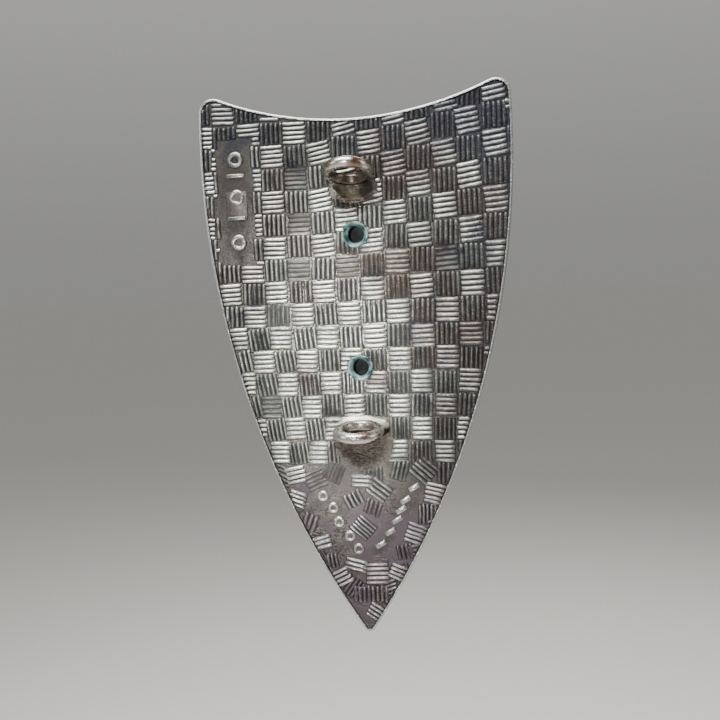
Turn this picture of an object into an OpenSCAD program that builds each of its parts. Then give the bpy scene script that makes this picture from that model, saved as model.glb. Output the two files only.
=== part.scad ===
// Shield badge with an applied roundel, enamelled fields, two hollow rivets and two
// soldered wire loops that a split pin passes through.
//
// The flat shapes are drawn as seen from the front: x across, y up from the tip. Depth is
// counted from the plate's back face, positive towards the front and negative over the loops.
// in_frame() then stands the badge up: +Z up the badge, front to -Y, and the origin on the
// pin's axis, midway between the feet of the two loops.

/* [Shield] */
// Width at the widest level
shield_width = 25.7; // [22:0.1:31]
// Height from the tip's corner to the top corners
shield_height = 46; // [40:0.5:56]
// Radius of the long curved sides
side_radius = 71.8; // [60:0.2:90]
// Depth of the hollow in the top edge
top_hollow = 2.95; // [1.5:0.05:5]
// Radius that rounds the two top corners
corner_radius = 1.2; // [0.5:0.1:2]
// Radius that rounds the tip
tip_radius = 0.5; // [0.2:0.1:1]
// Thickness of the struck plate
plate_thickness = 1.6; // [1.2:0.1:2.4]

/* [Enamel cells] */
// Width of the bare metal rim round the front
rim_width = 1; // [0.6:0.1:1.6]
// Width of the metal walls between the cells
wall_width = 0.45; // [0.3:0.05:0.8]
// Depth of the enamel
enamel_depth = 0.5; // [0.3:0.05:0.8]

/* [Roundel] */
// Height of the roundel's centre, and of the middle of the rivets, above the tip
centre_height = 28.25; // [24:0.05:33]
// Outer diameter of the roundel
roundel_diameter = 14; // [13:0.1:16]
// Thickness of the roundel at its edge
roundel_thickness = 0.9; // [0.7:0.1:1.4]
// Height of the wreath above the roundel's edge
wreath_height = 0.5; // [0.3:0.1:0.8]
// Width of the roundel's bare edge, outside the wreath
roundel_edge = 0.45; // [0.3:0.05:0.8]
// Diameter of the enamel in the roundel's centre
boss_diameter = 7.6; // [5:0.1:8.4]
// Depth of the seat for that enamel, below the wreath's foot
boss_seat = 0.35; // [0.2:0.05:0.5]
// Height of the enamel's dome above its seat
boss_height = 0.95; // [0.6:0.05:1.2]

/* [Rivets] */
// Distance between the two rivets
rivet_pitch = 10.92; // [9:0.02:11.2]
// Outer diameter of the rivet's tube
rivet_diameter = 1.7; // [1.4:0.1:2]
// Diameter of the hollow in the rivet
rivet_bore = 1.3; // [1:0.05:1.5]
// Diameter of the flared end in the plate's back
flare_diameter = 2.1; // [1.9:0.05:2.6]
// Depth over which the end flares
flare_depth = 0.45; // [0.3:0.05:0.7]
// Depth of the blind hole in the roundel behind each tube
rivet_socket = 0.8; // [0.4:0.1:1]

/* [Loops] */
// Distance between the feet of the two loops
loop_pitch = 19.9; // [17:0.1:24]
// Distance of the loops' middle below the roundel's centre
loop_drop = 0.2; // [0:0.05:0.5]
// Outer diameter of each loop
loop_diameter = 4.2; // [3.8:0.02:5.1]
// Diameter of the loops' wire
wire_diameter = 0.9; // [0.8:0.02:1.1]
// Outward lean of the upper loop, in degrees
upper_lean = 18; // [0:1:22]
// Outward lean of the lower loop, in degrees
lower_lean = 10; // [0:1:22]
// Depth that the pin has worn into the sides of the loops
pin_wear = 0.05; // [0.02:0.01:0.1]
// Depth to which each loop's foot is filed flat where it stands on the plate
foot_flat = 0.1; // [0.05:0.01:0.2]

/* [Solder] */
// Diameter of the solder pool round the upper loop's foot
upper_solder_diameter = 4.6; // [3.6:0.1:5.4]
// Diameter of the solder pool round the lower loop's foot
lower_solder_diameter = 4.8; // [3.6:0.1:5.4]
// Height of the solder pools
solder_height = 0.6; // [0.4:0.05:0.65]
// Diameter of the flat top of the solder pools
solder_top = 1.2; // [0.8:0.1:1.8]

/* [Hidden] */
$fn = 64;
SIDE_STEPS = 24;
TOP_STEPS = 20;
ROUND_STEPS = 6;
DOME_STEPS = 10;
POOL_STEPS = 6;
OVERCUT = 0.5;

// Circle that carries each long side, centred across the badge and up at the widest level
side_x = side_radius - shield_width / 2;
side_y = sqrt(side_radius * side_radius - side_x * side_x);
// Half the width at the top corners, and the circle that hollows the top edge
corner_x = sqrt(side_radius * side_radius - pow(shield_height - side_y, 2)) - side_x;
top_radius = (corner_x * corner_x + top_hollow * top_hollow) / (2 * top_hollow);
top_y = shield_height - top_hollow + top_radius;

wire_radius = wire_diameter / 2;
ring_radius = loop_diameter / 2 - wire_radius;
pin_radius = ring_radius - wire_radius + pin_wear;
pin_height = (loop_diameter / 2 - foot_flat) * cos(upper_lean);
loop_centre = centre_height - loop_drop;

silver = "#b9b2a4";
gilt = "#c9a85c";
deep_blue = "#1d3570";
ivory = "#e9e4d2";
crimson = "#8c1c26";

// Where two circles round [a, 0 or more] and [0, b] meet, on the side of positive x
function meeting(centre_a, radius_a, centre_b, radius_b) =
    let (gap = centre_b - centre_a, d = norm(gap),
         along = (d * d + radius_a * radius_a - radius_b * radius_b) / (2 * d),
         across = sqrt(radius_a * radius_a - along * along),
         dir = gap / d)
    centre_a + dir * along + [dir[1], -dir[0]] * across;

function bearing(from, to) = atan2(to[1] - from[1], to[0] - from[0]);

function arc(centre, radius, start, end, steps) =
    [for (i = [0:steps]) let (a = start + (end - start) * i / steps)
        centre + radius * [cos(a), sin(a)]];

// Right half of the outline, from the tip up to the middle of the top, set in by inset
function half_outline(inset) =
    let (round_corner = max(corner_radius - inset, 0.3),
         round_tip = max(tip_radius - inset, 0.2),
         side = [-side_x, side_y],
         top = [0, top_y],
         tip_centre = [0, side_y - sqrt(pow(side_radius - inset - round_tip, 2) - side_x * side_x)],
         corner_centre = meeting(side, side_radius - inset - round_corner,
                                 top, top_radius + inset + round_corner))
    concat(
        arc(tip_centre, round_tip, -90, bearing(side, tip_centre), ROUND_STEPS),
        arc(side, side_radius - inset, bearing(side, tip_centre), bearing(side, corner_centre),
            SIDE_STEPS),
        arc(corner_centre, round_corner, bearing(side, corner_centre),
            bearing(corner_centre, top), ROUND_STEPS),
        arc(top, top_radius + inset, bearing(top, corner_centre), -90, TOP_STEPS));

module shield_outline(inset) {
    right = half_outline(inset);
    last = len(right) - 1;
    left = [for (i = [last - 1:-1:1]) [-right[i][0], right[i][1]]];
    polygon(concat(right, left));
}

// One enamel cell: the quarter of the field on side (+1 or -1) and level (+1 up, -1 down)
module cell(side, level) {
    reach = shield_height;
    difference() {
        intersection() {
            shield_outline(rim_width);
            translate([side > 0 ? wall_width / 2 : -reach - wall_width / 2,
                       centre_height + (level > 0 ? wall_width / 2 : -reach - wall_width / 2)])
                square(reach);
        }
        translate([0, centre_height]) circle(d = roundel_diameter - 2 * roundel_edge);
    }
}

module in_frame() {
    translate([0, -pin_height, -loop_centre]) rotate([90, 0, 0]) children();
}

module at_rivets() {
    for (level = [-1, 1])
        translate([0, centre_height + level * rivet_pitch / 2, 0]) children();
}

module shield_plate() {
    face = plate_thickness - enamel_depth;
    color(silver) in_frame() difference() {
        linear_extrude(plate_thickness) shield_outline(0);
        for (side = [-1, 1], level = [-1, 1])
            translate([0, 0, face]) linear_extrude(enamel_depth + OVERCUT) cell(side, level);
        at_rivets() translate([0, 0, -OVERCUT])
            cylinder(d = rivet_diameter, h = plate_thickness + 2 * OVERCUT);
        at_rivets() cylinder(d1 = flare_diameter, d2 = rivet_diameter, h = flare_depth);
    }
}

module enamel_cell(side, level, tint) {
    color(tint) in_frame() translate([0, 0, plate_thickness - enamel_depth])
        linear_extrude(enamel_depth) cell(side, level);
}

module front_roundel() {
    outer = roundel_diameter / 2;
    boss = boss_diameter / 2;
    foot = roundel_thickness;
    crown = roundel_thickness + wreath_height;
    color(gilt) in_frame() translate([0, centre_height, plate_thickness]) difference() {
        rotate_extrude() polygon([
            [0, 0], [outer, 0], [outer, foot], [outer - roundel_edge, foot],
            [outer - 2 * roundel_edge, crown], [boss + roundel_edge, crown],
            [boss, foot], [boss, foot - boss_seat], [0, foot - boss_seat]]);
        for (level = [-1, 1])
            translate([0, level * rivet_pitch / 2, -OVERCUT])
                cylinder(d = rivet_bore, h = OVERCUT + rivet_socket);
    }
}

module enamel_boss() {
    boss = boss_diameter / 2;
    shoulder = boss_seat;
    rise = boss_height - shoulder;
    dome_radius = (boss * boss + rise * rise) / (2 * rise);
    half_angle = asin(boss / dome_radius);
    color(crimson) in_frame()
        translate([0, centre_height, plate_thickness + roundel_thickness - boss_seat])
            rotate_extrude() polygon(concat(
                [[0, 0], [boss, 0]],
                arc([0, boss_height - dome_radius], dome_radius, 90 - half_angle, 90,
                    DOME_STEPS)));
}

// level is +1 for the upper rivet and -1 for the lower
module rivet(level) {
    tube = rivet_diameter / 2;
    bore = rivet_bore / 2;
    mouth = flare_diameter / 2;
    wall = tube - bore;
    color(silver) in_frame() translate([0, centre_height + level * rivet_pitch / 2, 0])
        rotate_extrude() polygon([
            [mouth - wall / 2, 0], [mouth, 0], [tube, flare_depth], [tube, plate_thickness],
            [bore, plate_thickness], [bore, flare_depth]]);
}

// The pin's path through both loops
module pin_path() {
    translate([0, loop_centre, -pin_height]) rotate([90, 0, 0])
        cylinder(r = pin_radius, h = loop_pitch * 2, center = true);
}

module above_plate() {
    translate([-loop_diameter, -loop_diameter, -2 * loop_diameter])
        cube([2 * loop_diameter, 2 * loop_diameter, 2 * loop_diameter]);
}

module at_loop(level) {
    translate([0, loop_centre + level * loop_pitch / 2, 0]) children();
}

// The whole wire ring, standing on the plate and leaning away from the other loop
module ring(level, lean) {
    rotate([level * lean, 0, 0]) translate([0, 0, -pin_height / cos(lean)]) rotate([90, 0, 0])
        rotate_extrude() translate([ring_radius, 0]) circle(r = wire_radius);
}

module loop(level, lean) {
    color(silver) in_frame() difference() {
        at_loop(level) intersection() {
            ring(level, lean);
            above_plate();
        }
        pin_path();
    }
}

// A pool that thins out to a feather edge, hollowed where the wire stands in it
module loop_solder(level, lean, pool_diameter) {
    flat = solder_top / 2;
    spread = pool_diameter / 2 - flat;
    color(silver) in_frame() at_loop(level) difference() {
        rotate_extrude() polygon(concat(
            [[0, 0], [0, -solder_height]],
            [for (i = [0:POOL_STEPS])
                [flat + spread * i / POOL_STEPS, -solder_height * pow(1 - i / POOL_STEPS, 1.5)]]));
        ring(level, lean);
    }
}

shield_plate();
enamel_cell(-1, 1, deep_blue);  // enamel_upper_left
enamel_cell(1, 1, ivory);  // enamel_upper_right
enamel_cell(-1, -1, ivory);  // enamel_lower_left
enamel_cell(1, -1, deep_blue);  // enamel_lower_right
front_roundel();
enamel_boss();
rivet(1);  // upper_rivet
rivet(-1);  // lower_rivet
loop(1, upper_lean);  // upper_loop
loop(-1, lower_lean);  // lower_loop
loop_solder(1, upper_lean, upper_solder_diameter);  // upper_loop_solder
loop_solder(-1, lower_lean, lower_solder_diameter);  // lower_loop_solder
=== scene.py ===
"""Looks of the shield cap badge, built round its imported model.

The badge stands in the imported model's frame: +Z up the badge along the pin's axis, the front
towards -Y and the woven back, with its two wire loops, towards +Y. Meshes are drawn in
millimetres and are scaled to metres when each piece is finished.
"""

import logging
import math
import random
from collections.abc import Callable, Sequence
from dataclasses import dataclass, field
from enum import Enum
from functools import partial

import bmesh
import bpy
from mathutils import Euler, Matrix, Vector, noise


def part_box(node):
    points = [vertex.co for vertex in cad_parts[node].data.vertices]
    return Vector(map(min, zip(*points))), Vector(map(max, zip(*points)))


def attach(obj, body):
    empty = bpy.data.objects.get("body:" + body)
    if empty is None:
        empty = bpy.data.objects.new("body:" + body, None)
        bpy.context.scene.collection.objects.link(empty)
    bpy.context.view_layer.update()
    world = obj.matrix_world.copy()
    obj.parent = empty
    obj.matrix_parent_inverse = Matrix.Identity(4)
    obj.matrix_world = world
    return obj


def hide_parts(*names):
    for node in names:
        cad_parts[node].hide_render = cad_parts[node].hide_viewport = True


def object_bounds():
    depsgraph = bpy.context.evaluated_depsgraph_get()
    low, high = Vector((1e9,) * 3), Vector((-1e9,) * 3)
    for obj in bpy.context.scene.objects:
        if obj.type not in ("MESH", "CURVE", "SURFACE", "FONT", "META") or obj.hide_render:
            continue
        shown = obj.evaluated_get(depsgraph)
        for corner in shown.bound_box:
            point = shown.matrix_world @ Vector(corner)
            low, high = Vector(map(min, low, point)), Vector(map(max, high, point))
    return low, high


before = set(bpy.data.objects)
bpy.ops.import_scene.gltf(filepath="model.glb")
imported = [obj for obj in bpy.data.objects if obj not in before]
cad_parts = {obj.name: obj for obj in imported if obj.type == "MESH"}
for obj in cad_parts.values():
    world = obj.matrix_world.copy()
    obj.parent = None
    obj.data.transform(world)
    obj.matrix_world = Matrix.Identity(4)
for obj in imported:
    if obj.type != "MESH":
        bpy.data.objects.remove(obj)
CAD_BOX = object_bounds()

log = logging.getLogger("badge")

MM = 0.001
SEED = 41
MERGE = 1e-4

Socket = bpy.types.NodeSocket
Shape = bmesh.types.BMesh


# ---------------------------------------------------------------- frame and small helpers


def box_mm(node: str) -> tuple[Vector, Vector]:
    """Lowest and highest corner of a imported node's box, in millimetres."""
    low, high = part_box(node)
    return Vector(low) / MM, Vector(high) / MM


PLATE_LOW, PLATE_HIGH = box_mm("shield_plate")
BACK = PLATE_HIGH.y
FRONT = PLATE_LOW.y
TIP_DROP = 28.05
FLOOR_DEPTH = 0.15
RIVETS_UP = {"lower": 22.79, "upper": 33.71}
ROUNDEL_UP = 28.25
ROUNDEL_RADIUS = 7.0


def at(x: float, up: float, out: float = 0.0) -> Vector:
    """Point on the back: x across, up above the tip's sharp corner, out over the rib tops."""
    return Vector((x, BACK + out, up - TIP_DROP))


def linear(hex_colour: str) -> tuple[float, float, float, float]:
    """Linear colour of an sRGB hex value.

    Args:
        hex_colour: Six hex digits after a #.

    Returns:
        Red, green, blue and an alpha of 1.
    """
    parts = [int(hex_colour[i : i + 2], 16) / 255 for i in (1, 3, 5)]
    red, green, blue = [p / 12.92 if p <= 0.04045 else ((p + 0.055) / 1.055) ** 2.4 for p in parts]
    return red, green, blue, 1.0


class Kind(Enum):
    """Kinds of node: the type, its settings, its inputs in the order given, and its output."""

    COORDS = ("ShaderNodeTexCoord", {}, (), "Object")
    WAY = ("ShaderNodeTexCoord", {}, (), "Generated")
    AXES = ("ShaderNodeSeparateXYZ", {}, ("Vector",), "X")
    PLACE = ("ShaderNodeMapping", {}, ("Vector", "Scale", "Location"), "Vector")
    NOISE = ("ShaderNodeTexNoise", {}, ("Vector", "Scale", "Detail"), "Fac")
    PATCH = ("ShaderNodeAttribute", {"attribute_name": "patch_tone"}, (), "Fac")
    # maps the second and third value onto the fourth and fifth, held at both ends
    RAMP = ("ShaderNodeMapRange", {"interpolation_type": "SMOOTHSTEP"}, range(5), "Result")
    BLEND = ("ShaderNodeMix", {"data_type": "RGBA"}, (0, 6, 7), 2)
    # the sums are held between 0 and 1
    PLUS = ("ShaderNodeMath", {"operation": "ADD", "use_clamp": True}, (0, 1), 0)
    MINUS = ("ShaderNodeMath", {"operation": "SUBTRACT", "use_clamp": True}, (0, 1), 0)
    TIMES = ("ShaderNodeMath", {"operation": "MULTIPLY", "use_clamp": True}, (0, 1), 0)
    BUMP = ("ShaderNodeBump", {}, ("Height", "Distance", "Strength"), "Normal")


def feed(node: bpy.types.Node, inputs: dict[object, object]) -> None:
    """Gives a node's inputs their values and their links.

    Args:
        node: The node.
        inputs: A value or an output socket for each input, by its name or place.
    """
    for key, value in inputs.items():
        if isinstance(value, Socket):
            node.id_data.links.new(value, node.inputs[key])
        else:
            node.inputs[key].default_value = value


def add_node(tree: bpy.types.NodeTree, kind: Kind, *values: object) -> Socket:
    """Adds one node with its settings, its input values and its links.

    Args:
        tree: The material's or the world's node tree.
        kind: What the node is, and which inputs the values are for.
        values: A value or an output socket for each of those inputs.

    Returns:
        The output that the kind names.
    """
    type_name, settings, keys, output = kind.value
    node = tree.nodes.new(type_name)
    for name, setting in settings.items():
        setattr(node, name, setting)
    feed(node, dict(zip(keys, values)))
    return node.outputs[output]


# ---------------------------------------------------------------- materials


@dataclass(frozen=True)
class Finish:
    """What every finish of the badge has.

    Args:
        title: The material's name.
        slot: Its material slot's name; not used.
    """

    title: str
    slot: str

    def begin(self) -> tuple[bpy.types.Material, Callable[..., Socket], Socket]:
        """Starts the material.

        Returns:
            The material, what adds a node to it, and its coordinates in millimetres.
        """
        material = bpy.data.materials.new(self.title)
        material.use_nodes = True
        add = partial(add_node, material.node_tree)
        return material, add, add(Kind.PLACE, add(Kind.COORDS), (1 / MM, 1 / MM, 1 / MM))

    @staticmethod
    def end(material: bpy.types.Material, inputs: dict[object, object]) -> bpy.types.Material:
        """Feeds the material's shader.

        Args:
            material: The material.
            inputs: A value or an output socket for each of the shader's inputs.

        Returns:
            The material.
        """
        feed(material.node_tree.nodes["Principled BSDF"], inputs)
        return material

    @staticmethod
    def grains(
        add: Callable[..., Socket], mm: Socket, size: float, detail: float = 4.0,
        stretch: tuple[float, float, float] = (1, 1, 1), seed: float = 0.0,
    ) -> Socket:
        """Noise whose grains are about size millimetres across.

        Args:
            add: What adds a node to the material.
            mm: Coordinates in millimetres.
            size: Width of a grain.
            detail: Octaves of finer grain.
            stretch: How much longer a grain is along each axis.
            seed: Moves the pattern, so that two layers differ.

        Returns:
            The noise's value.
        """
        scale = tuple(1 / (size * s) for s in stretch)
        return add(Kind.NOISE, add(Kind.PLACE, mm, scale, (seed, seed * 0.7, -seed)), 1.0, detail)


@dataclass(frozen=True)
class Oval:
    """A soft-edged oval on the back, in millimetres of the frame's X and Z."""

    x: float
    z: float
    half_width: float
    half_height: float

    def cover(self, add: Callable[..., Socket], across: Socket, height: Socket) -> Socket:
        """How far a place lies inside.

        Args:
            add: What adds a node to the material.
            across: The place's X.
            height: The place's Z.

        Returns:
            1 in the oval's middle and 0 outside.
        """
        squares = []
        for line, middle, reach in (
            (across, self.x, self.half_width), (height, self.z, self.half_height)
        ):
            offset = add(Kind.RAMP, line, middle - reach, middle + reach, -1.0, 1.0)
            squares.append(add(Kind.TIMES, offset, offset))
        return add(Kind.RAMP, add(Kind.PLUS, *squares), 0.95, 0.3)


# painted sheen: in this oval the back is painted brighter
PAINTED_SHEEN_SPOT = Oval(1.5, -1.5, 6.5, 9.0)
# painted shade: outside this oval the back is painted darker
UNSHADED_MIDDLE = Oval(1.5, -5.0, 12.0, 23.0)
# painted shade over the panel
PANEL_SHADE = Oval(10.0, 9.1, 2.4, 6.6)
LOWER_FLUX = Oval(0.1, -11.6, 3.8, 3.3)
UPPER_FLUX = Oval(0.0, 8.6, 2.7, 2.0)


@dataclass(frozen=True)
class Patterns:
    """What the layers of the plate's silver share: the place in millimetres and the noises."""

    add: Callable[..., Socket]
    across: Socket
    depth: Socket
    height: Socket
    clouds: Socket
    blotch: Socket
    streak: Socket
    grain: Socket


@dataclass(frozen=True)
class SilveredTombac(Finish):
    """Struck brass, silvered, worn and toned.

    The silver is worn bright on what stands proud and has toned grey and brown below it. The
    tone is warmer in the middle of one half and colder towards the top. Painted light lies on
    top of that: a painted sheen in the middle and on the half on +X, painted shade towards the
    top, the tip and the half on -X and over the panel, and a painted highlight on the level rib
    patches. Flux has stained the ground brown under each loop.
    """

    title: str = "silvered tombac, toned"
    slot: str = "silvered_tombac"
    bright: str = "#e2e5e4"
    straw: str = "#e5e5da"
    warm: str = "#6f6359"
    dull: str = "#737670"
    cold: str = "#3c4048"
    plum: str = "#7a6c73"
    stain: str = "#2b211a"
    groove: str = "#2b2829"
    edge: str = "#e2e5e4"
    polished: str = "#99948c"
    streaks: float = 0.12
    # weighs the random grime blotches and also the painted shade outside the middle
    grime_and_shade: float = 0.35
    groove_level: float = BACK - 0.15
    proud_level: float = BACK - 0.03
    wear: float = 0.0
    rim_wear: float = 0.0
    crest: tuple[float, float] = (0.15, 0.9)
    by_patch: bool = False

    def worn(self, p: Patterns, rim: Socket, face: Socket) -> Socket:
        """How far the tone is rubbed off, with painted light added: a painted sheen in the middle and
        on the half on +X, and painted shade towards the top and the tip.

        Args:
            p: The shared patterns.
            rim: Where the rim is.
            face: Where the sides and the front are.

        Returns:
            0 where it is whole and 1 where it is gone.
        """
        add = p.add
        # painted light: brighter towards +X, with painted shade towards the top and the tip
        side = add(Kind.RAMP, p.across, -11.0, 3.5, self.wear, 0.55 + self.wear)
        top = add(Kind.RAMP, p.height, 7.0, 16.0, 0.0, 0.42)
        foot = add(Kind.RAMP, p.height, -9.0, -17.0, 0.0, 0.05)
        worn = add(Kind.MINUS, side, add(Kind.PLUS, top, foot))
        # painted sheen in the middle of the back
        painted_sheen = PAINTED_SHEEN_SPOT.cover(add, p.across, p.height)
        worn = add(Kind.PLUS, worn, add(Kind.TIMES, painted_sheen, 0.5))
        worn = add(Kind.PLUS, worn, add(Kind.RAMP, p.clouds, 0.35, 0.65, 0.0, 0.3))
        worn = add(Kind.MINUS, worn, add(Kind.RAMP, p.blotch, 0.5, 0.64, 0.0, 0.4))
        # each rib patch's tone: random wear, with a painted highlight on the level patches
        if self.by_patch:
            worn = add(Kind.PLUS, worn, add(Kind.RAMP, add(Kind.PATCH), 0.0, 1.0, -0.45, 0.35))
        worn = add(Kind.PLUS, worn, add(Kind.PLUS, rim, face))
        return add(Kind.PLUS, worn, add(Kind.RAMP, p.grain, 0.45, 0.7, -0.1, 0.25))

    def toned(self, p: Patterns) -> Socket:
        """Colour of the whole tone: brown and grey, cold in blotches, plum at the tip, and turned
        cold and dark towards the top and the half on -X as painted shade.

        Args:
            p: The shared patterns.

        Returns:
            The colour.
        """
        add = p.add
        tone = add(Kind.BLEND, add(Kind.RAMP, p.clouds, 0.42, 0.58), linear(self.warm),
                   linear(self.dull))
        # painted shade: cold and dark towards the top and the half on -X, besides the cold blotches
        chill_and_shade = add(Kind.PLUS, add(Kind.RAMP, p.height, 8.0, 16.0, 0.0, 0.8),
                    add(Kind.RAMP, p.blotch, 0.55, 0.7, 0.0, 0.6))
        chill_and_shade = add(Kind.PLUS, chill_and_shade, add(Kind.RAMP, p.across, -3.0, -12.0, 0.0, 0.5))
        for cover, colour in (
            (chill_and_shade, self.cold),
            (add(Kind.RAMP, p.streak, 0.5, 0.68, 0.0, self.streaks), self.bright),
            (add(Kind.RAMP, p.streak, 0.5, 0.34, 0.0, self.streaks), self.groove),
            (add(Kind.RAMP, p.height, -12.0, -19.0), self.plum),
            (add(Kind.RAMP, p.blotch, 0.48, 0.36, 0.0, self.grime_and_shade), self.stain),
        ):
            tone = add(Kind.BLEND, cover, tone, linear(colour))
        return tone

    def stained(self, p: Patterns) -> Socket:
        """Where flux has burnt brown under the loops, brushed out in streaks, with painted shade over
        the panel.

        Args:
            p: The shared patterns.

        Returns:
            How much of the stain shows.
        """
        add = p.add
        lower, upper, panel = (
            oval.cover(add, p.across, p.height) for oval in (LOWER_FLUX, UPPER_FLUX, PANEL_SHADE)
        )
        # the panel gets painted shade, at 0.45 of the stain's strength
        stained = add(Kind.PLUS, add(Kind.PLUS, lower, upper), add(Kind.TIMES, panel, 0.45))
        return add(Kind.TIMES, stained, add(Kind.RAMP, p.streak, 0.38, 0.62, 0.97, 0.6))

    def build(self) -> bpy.types.Material:
        """Makes the material.

        Returns:
            The material.
        """
        material, add, mm = self.begin()
        across, depth, height = add(Kind.AXES, mm).node.outputs
        p = Patterns(
            add, across, depth, height,
            clouds=self.grains(add, mm, 5.0, 3.0, seed=3.1),
            blotch=self.grains(add, mm, 1.6, 4.0, seed=9.4),
            streak=self.grains(add, mm, 0.3, 3.0, stretch=(1, 1, 0.25), seed=5.9),
            grain=self.grains(add, mm, 0.16, 3.0, seed=1.7),
        )
        relief = add(Kind.PLUS, add(Kind.RAMP, depth, self.groove_level, self.proud_level),
                     add(Kind.RAMP, depth, BACK - 0.25, BACK - 0.45))
        rim = add(Kind.RAMP, depth, BACK - 0.05, BACK - 0.01, 0.0, self.rim_wear)
        face = add(Kind.RAMP, depth, BACK - 0.4, BACK - 1.0, 0.0, 0.8)
        shine = add(Kind.TIMES, add(Kind.RAMP, relief, *self.crest), self.worn(p, rim, face))
        silver = add(Kind.BLEND, add(Kind.RAMP, p.clouds, 0.45, 0.6), linear(self.bright),
                     linear(self.straw))
        # painted shade: outside the middle oval the grooves stay dark and the surface is blended
        # towards the groove colour
        unshaded_middle = UNSHADED_MIDDLE.cover(add, across, height)
        groove = add(Kind.BLEND, add(Kind.TIMES, unshaded_middle, 0.8), linear(self.groove),
                     linear(self.dull))
        surface = add(Kind.BLEND, shine, self.toned(p), silver)
        surface = add(Kind.BLEND, add(Kind.RAMP, relief, 0.0, 0.3), groove, surface)
        for cover, colour in (
            (add(Kind.RAMP, unshaded_middle, 0.0, 1.0, self.grime_and_shade, 0.0), self.groove),
            (rim, self.edge), (self.stained(p), self.stain), (face, self.polished),
        ):
            surface = add(Kind.BLEND, cover, surface, linear(colour))
        # the sides and the front are buffed, so the file marks and the pits end there
        marks = add(Kind.TIMES, add(Kind.PLUS, p.grain, p.streak),
                    add(Kind.RAMP, face, 0.0, 0.8, 1.0, 0.06))
        return self.end(material, {
            "Base Color": surface,
            "Metallic": 0.95,
            "Roughness": add(Kind.PLUS, add(Kind.RAMP, shine, 0.0, 1.0, 0.42, 0.24),
                             add(Kind.TIMES, face, 0.12)),
            "Normal": add(Kind.BUMP, marks, 0.05 * MM, 0.6),
        })


RIB_SILVER = SilveredTombac("silvered tombac, ribs", crest=(0.35, 0.98), by_patch=True)
MARK_SILVER = SilveredTombac(
    "silvered tombac, marks", bright="#dcd9d2", groove_level=BACK - 0.13, wear=0.6
)
GROUND_SILVER = SilveredTombac(
    "silvered tombac, ground", bright="#7c776f", straw="#7a7466", warm="#433b35",
    dull="#3f3b37", streaks=0.45, grime_and_shade=0.5,
    groove_level=BACK - 0.6, proud_level=BACK - FLOOR_DEPTH + 0.13, rim_wear=0.7,
)


@dataclass(frozen=True)
class SoftSolder(Finish):
    """Tin-lead solder that has been scraped: grey, brushed, and dark where flux has stayed."""

    title: str = "soft solder, stained"
    slot: str = "soft_solder"
    pale: str = "#5c574a"
    dark: str = "#2f2a22"
    scraped: str = "#d4d1c8"
    scraped_above: float = 99.0

    def build(self) -> bpy.types.Material:
        """Makes the material.

        Returns:
            The material.
        """
        material, add, mm = self.begin()
        patches = self.grains(add, mm, 1.1, 4.0, seed=5.5)
        strokes = self.grains(add, mm, 0.12, 2.0, stretch=(9, 9, 1.4), seed=2.2)
        tone = add(Kind.PLUS, add(Kind.RAMP, patches, 0.4, 0.62),
                   add(Kind.RAMP, strokes, 0.45, 0.7, 0.0, 0.2))
        height = add(Kind.AXES, mm).node.outputs["Z"]
        above = add(Kind.RAMP, height, self.scraped_above - 0.35, self.scraped_above + 0.1)
        fluxed = add(Kind.BLEND, tone, linear(self.dark), linear(self.pale))
        return self.end(material, {
            "Base Color": add(Kind.BLEND, above, fluxed, linear(self.scraped)),
            "Metallic": 0.85,
            "Roughness": add(Kind.RAMP, patches, 0.3, 0.7, 0.55, 0.36),
            "Normal": add(Kind.BUMP, strokes, 0.09 * MM, 0.9),
        })


@dataclass(frozen=True)
class SilveredWire(Finish):
    """Round brass wire, silvered and rubbed by the pin, so that copper shows in places, with a
    painted shade towards the plate.
    """

    title: str = "silvered brass wire, worn"
    slot: str = "silvered_wire"
    silver: str = "#c2bcb3"
    copper: str = "#76533f"
    shade: str = "#493c33"

    def build(self) -> bpy.types.Material:
        """Makes the material.

        Returns:
            The material.
        """
        material, add, mm = self.begin()
        patches = self.grains(add, mm, 1.3, 3.0, seed=7.7)
        fine = self.grains(add, mm, 0.15, 3.0, seed=4.2)
        # painted shade: the wire is darkened towards the plate
        low = add(Kind.RAMP, add(Kind.AXES, mm).node.outputs["Y"], BACK + 2.6, BACK + 0.6)
        rubbed = add(Kind.RAMP, patches, 0.48, 0.62, 0.0, 0.85)
        base = add(Kind.BLEND, rubbed, linear(self.silver), linear(self.copper))
        return self.end(material, {
            "Base Color": add(Kind.BLEND, add(Kind.TIMES, low, 0.9), base, linear(self.shade)),
            "Metallic": 1.0,
            "Roughness": add(Kind.RAMP, fine, 0.3, 0.7, 0.2, 0.36),
            "Normal": add(Kind.BUMP, fine, 0.02 * MM, 0.4),
        })


@dataclass(frozen=True)
class VerdigrisTube(Finish):
    """Copper-alloy tube whose flared mouth has a crust of blue-green verdigris, and whose bore is
    painted near-black as painted shade.
    """

    title: str = "copper tube, verdigris"
    slot: str = "verdigris_tube"
    crust: str = "#98bab8"
    deep: str = "#27544e"
    hollow: str = "#030303"

    def build(self) -> bpy.types.Material:
        """Makes the material.

        Returns:
            The material.
        """
        material, add, mm = self.begin()
        patches = self.grains(add, mm, 0.5, 4.0, seed=6.1)
        fine = self.grains(add, mm, 0.08, 3.0, seed=8.2)
        # painted shade: below the mouth the bore is painted near-black
        mouth = add(Kind.RAMP, add(Kind.AXES, mm).node.outputs["Y"], BACK - 0.62, BACK - 0.4)
        crust = add(Kind.BLEND, add(Kind.RAMP, patches, 0.35, 0.65), linear(self.deep),
                    linear(self.crust))
        return self.end(material, {
            "Base Color": add(Kind.BLEND, mouth, linear(self.hollow), crust),
            "Metallic": add(Kind.RAMP, patches, 0.4, 0.7, 0.5, 0.0),
            "Roughness": 0.5,
            "Normal": add(Kind.BUMP, fine, 0.03 * MM, 0.5),
        })


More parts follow.
